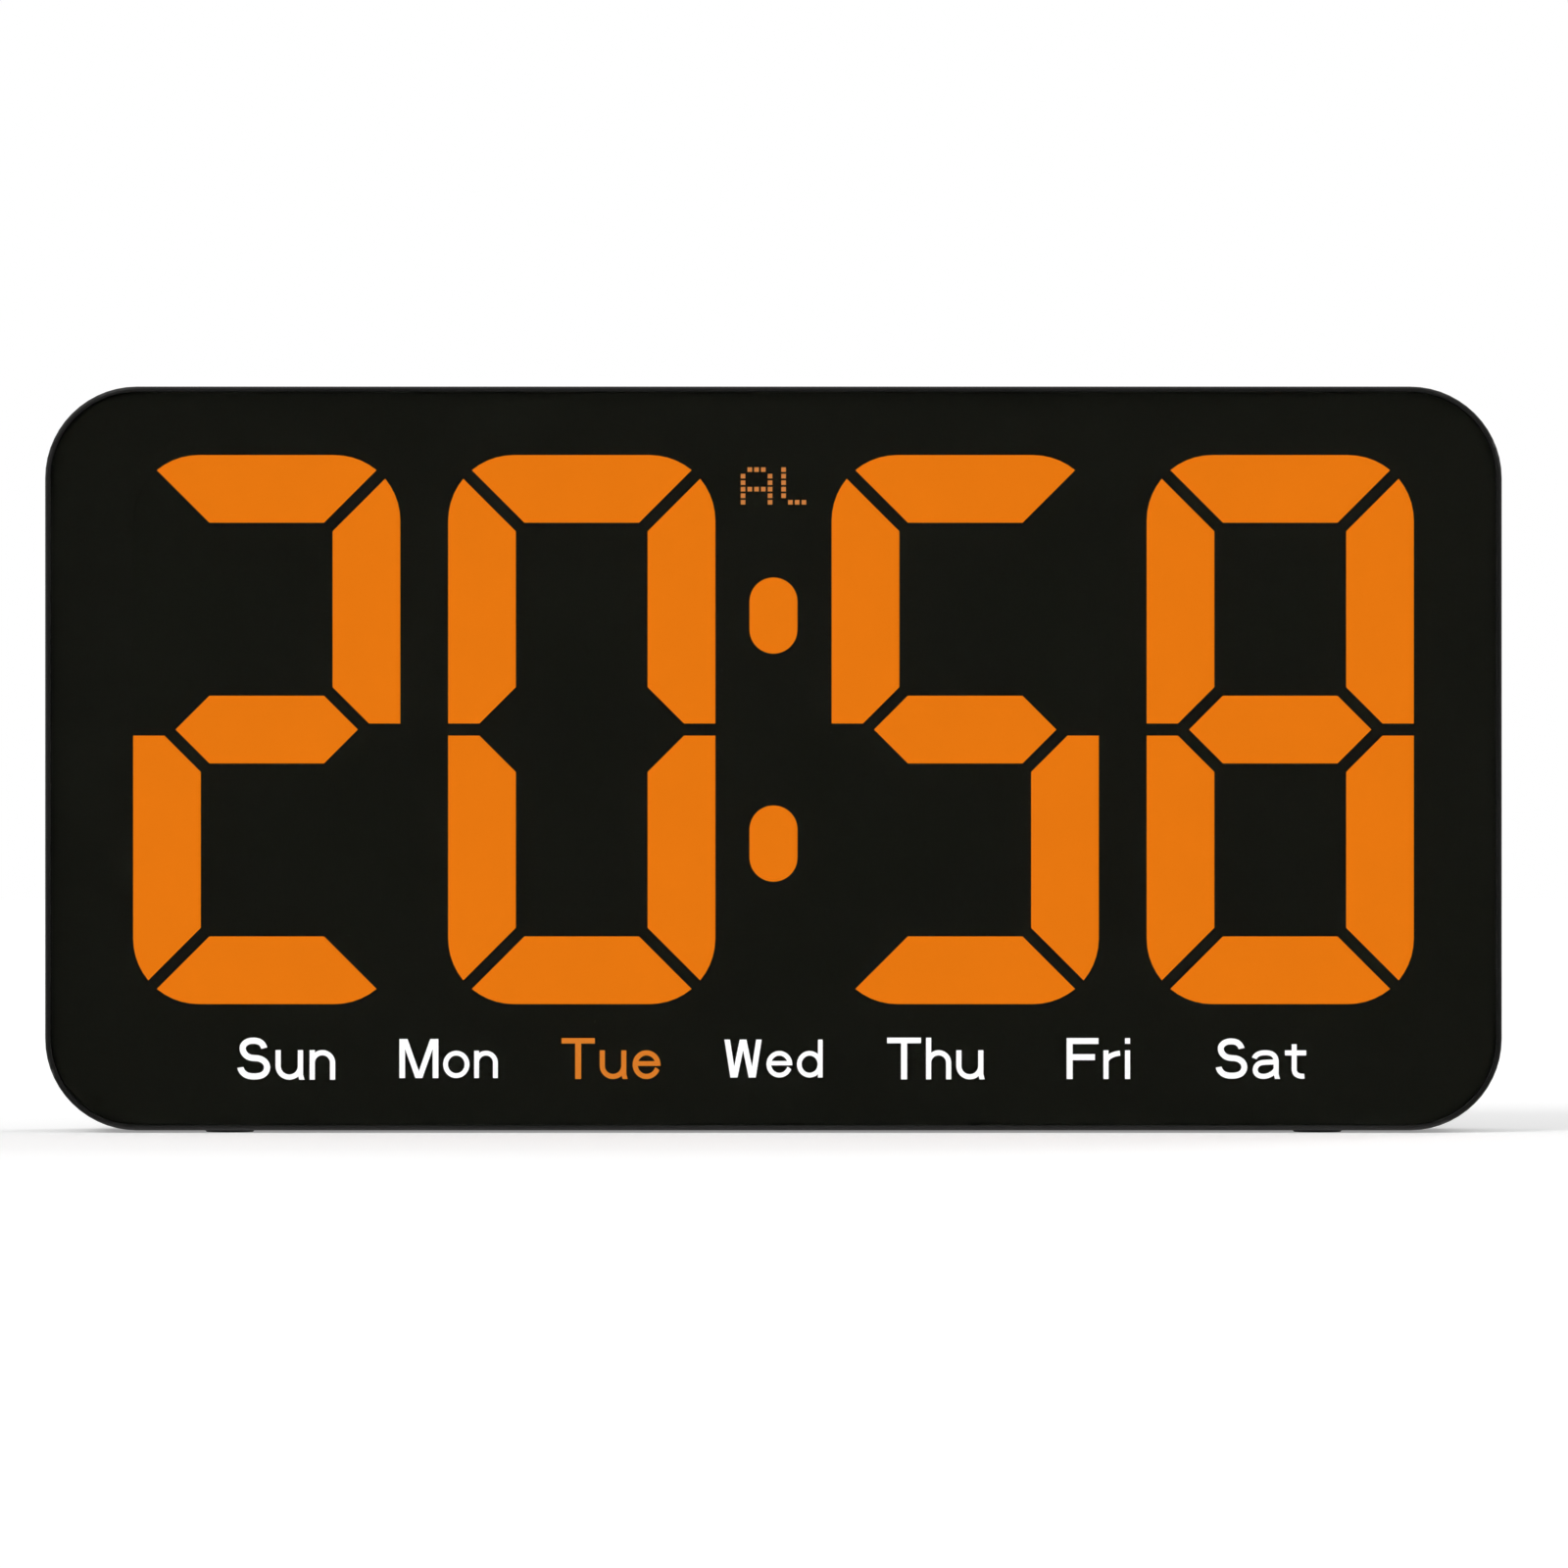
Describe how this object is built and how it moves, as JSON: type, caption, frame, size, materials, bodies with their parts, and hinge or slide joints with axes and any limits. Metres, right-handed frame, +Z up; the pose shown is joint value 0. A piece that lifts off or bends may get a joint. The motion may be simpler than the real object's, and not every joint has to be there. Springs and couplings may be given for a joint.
{
  "type": "day and alarm clock",
  "caption": "Slim rounded LED day clock with large seven-segment time, weekday row, alarm sign, fold-out stand, battery door and keyholes.",
  "frame": {"origin": "middle of the footprint, on the surface that the four rubber feet stand on", "axes": "+Z up, the window faces -Y, +X to the right of someone reading the clock; stand folded, battery door shut, no button pressed"},
  "size_m": [0.235, 0.028, 0.1204],
  "materials": {
    "case_black": "fine moulded texture",
    "lens_clear": "clear polished acrylic",
    "mask_black": "printed black film, satin",
    "tape_black": "foam tape",
    "legend_white": "printed white",
    "legend_lit": "lit orange",
    "reflector_white": "satin white",
    "segment_lit": "lit orange diffuser",
    "segment_dark": "unlit smoked diffuser",
    "diffuser_white": "milky diffuser",
    "circuit_board": "green solder mask",
    "led_body": "white package with clear filler",
    "steel": "plated",
    "chip_black": "moulded epoxy",
    "connector_black": "moulded",
    "resistor_black": "chip",
    "can_aluminium": "bright can",
    "plunger_black": "moulded",
    "button_black": "satin",
    "screw_black": "black oxide",
    "rubber_black": "matt",
    "cell_wrap": "shrink wrap over a steel can",
    "nickel": "nickel plate",
    "wire_insulation": "PVC"
  },
  "bodies": {
    "case": {"front_bezel": "case_black", "front_lens": "lens_clear", "mask_film": "mask_black", "lens_tape": "tape_black", "legend_sun": "legend_white", "legend_mon": "legend_white", "legend_tue": "legend_lit", "legend_wed": "legend_white", "legend_thu": "legend_white", "legend_fri": "legend_white", "legend_sat": "legend_white", "reflector_frame": "reflector_white", "digit_1_segments": "segment_lit", "digit_2_segments": "segment_lit", "digit_3_segments": "segment_lit", "digit_4_segments": "segment_lit", "dark_segments": "segment_dark", "colon_tiles": "segment_lit", "alarm_tile": "segment_lit", "day_tiles": "diffuser_white", "display_board": "circuit_board", "segment_leds": "led_body", "display_board_screws": "steel", "driver_chips": "chip_black", "board_connector": "connector_black", "control_board": "circuit_board", "control_board_screws": "steel", "microcontroller": "chip_black", "clock_crystal": "steel", "resistors": "resistor_black", "capacitors": "can_aluminium", "buzzer": "connector_black", "usb_socket": "steel", "switch_housings": "connector_black", "snooze_switch": "connector_black", "rear_cover": "case_black", "case_screws": "screw_black", "rubber_feet": "rubber_black", "aaa_cells": "cell_wrap", "battery_springs": "nickel", "battery_contacts": "nickel", "battery_leads": "wire_insulation", "stand_pin": "steel"},
    "stand": {"stand_leg": "case_black", "stand_pad": "rubber_black"},
    "door": {"battery_door": "case_black"},
    "snooze": {"snooze_bar": "button_black", "snooze_plunger": "plunger_black"},
    "key_mode": {"button_mode": "button_black", "plunger_mode": "plunger_black"},
    "key_set": {"button_set": "button_black", "plunger_set": "plunger_black"},
    "key_up": {"button_up": "button_black", "plunger_up": "plunger_black"},
    "key_down": {"button_down": "button_black", "plunger_down": "plunger_black"}
  },
  "joints": [
    {"name": "stand_hinge", "type": "hinge", "parent": "case", "child": "stand", "pos_m": [0, 0.0118, 0.0704], "axis": [1, 0, 0], "range_deg": [0, 30]},
    {"name": "battery_door_hinge", "type": "hinge", "parent": "case", "child": "door", "pos_m": [-0.07025, 0.0127, 0.0486], "axis": [1, 0, 0], "range_deg": [0, 90]},
    {"name": "snooze_press", "type": "slide", "parent": "case", "child": "snooze", "axis": [0, 0, -1], "range_m": [0, 0.0004], "stiffness_N_per_m": 1500, "springref_m": -0.0003},
    {"name": "press_mode", "type": "slide", "parent": "case", "child": "key_mode", "axis": [0, -1, 0], "range_m": [0, 0.0003], "stiffness_N_per_m": 900, "springref_m": -0.0002},
    {"name": "press_set", "type": "slide", "parent": "case", "child": "key_set", "axis": [0, -1, 0], "range_m": [0, 0.0003], "stiffness_N_per_m": 900, "springref_m": -0.0002},
    {"name": "press_up", "type": "slide", "parent": "case", "child": "key_up", "axis": [0, -1, 0], "range_m": [0, 0.0003], "stiffness_N_per_m": 900, "springref_m": -0.0002},
    {"name": "press_down", "type": "slide", "parent": "case", "child": "key_down", "axis": [0, -1, 0], "range_m": [0, 0.0003], "stiffness_N_per_m": 900, "springref_m": -0.0002}
  ]
}
